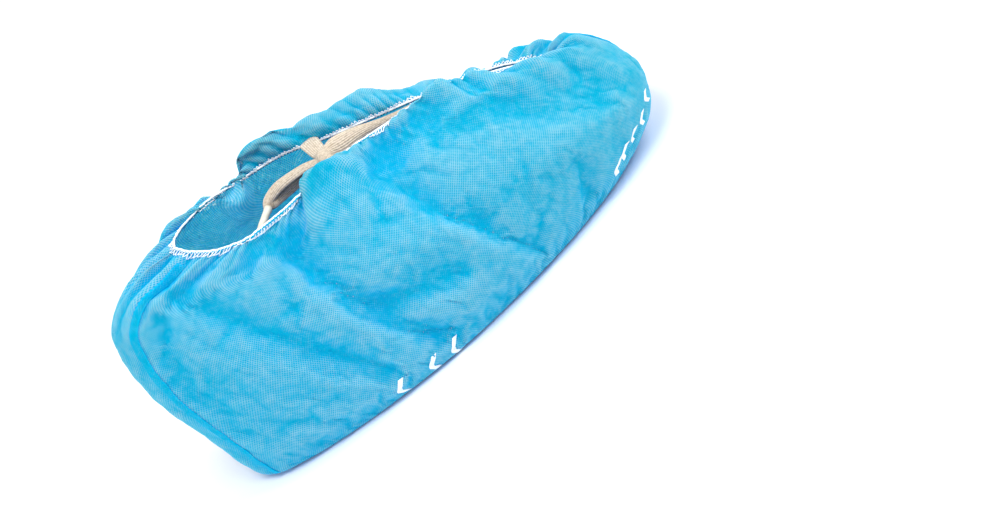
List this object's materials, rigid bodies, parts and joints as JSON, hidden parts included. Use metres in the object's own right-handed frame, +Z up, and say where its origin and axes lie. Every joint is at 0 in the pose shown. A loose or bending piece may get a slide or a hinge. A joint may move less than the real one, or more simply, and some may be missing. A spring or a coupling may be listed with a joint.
{
  "type": "shoe cover",
  "caption": "Disposable shoe cover of blue non-woven cloth, gathered by an elastic hem, with a knotted cotton tape in the opening and white grip chevrons under the sole.",
  "frame": {"origin": "on the floor under the middle of the cover's length and width", "axes": "+X towards the toe, +Y towards the side away from the camera, +Z up"},
  "size_m": [0.3589, 0.1256, 0.1554],
  "materials": {
    "blue_cloth": "dot-embossed spunbond non-woven",
    "white_hem": "elastic overcast with white thread",
    "cotton_tape": "ribbed woven cotton tape",
    "tape_tip": "pale tube tip",
    "white_tread": "printed white grip coating"
  },
  "bodies": {
    "root": {"cloth_bag": "blue_cloth", "hem_elastic": "white_hem", "heel_seam": "blue_cloth", "toe_seam": "blue_cloth", "tape_far": "cotton_tape", "tape_near": "cotton_tape", "tape_front_tail": "cotton_tape", "tape_rear_tail": "cotton_tape", "tape_knot": "cotton_tape", "tape_tip": "tape_tip", "tread_row_1": "white_tread", "tread_row_2": "white_tread", "tread_row_3": "white_tread", "tread_row_4": "white_tread", "tread_row_5": "white_tread"}
  },
  "joints": []
}
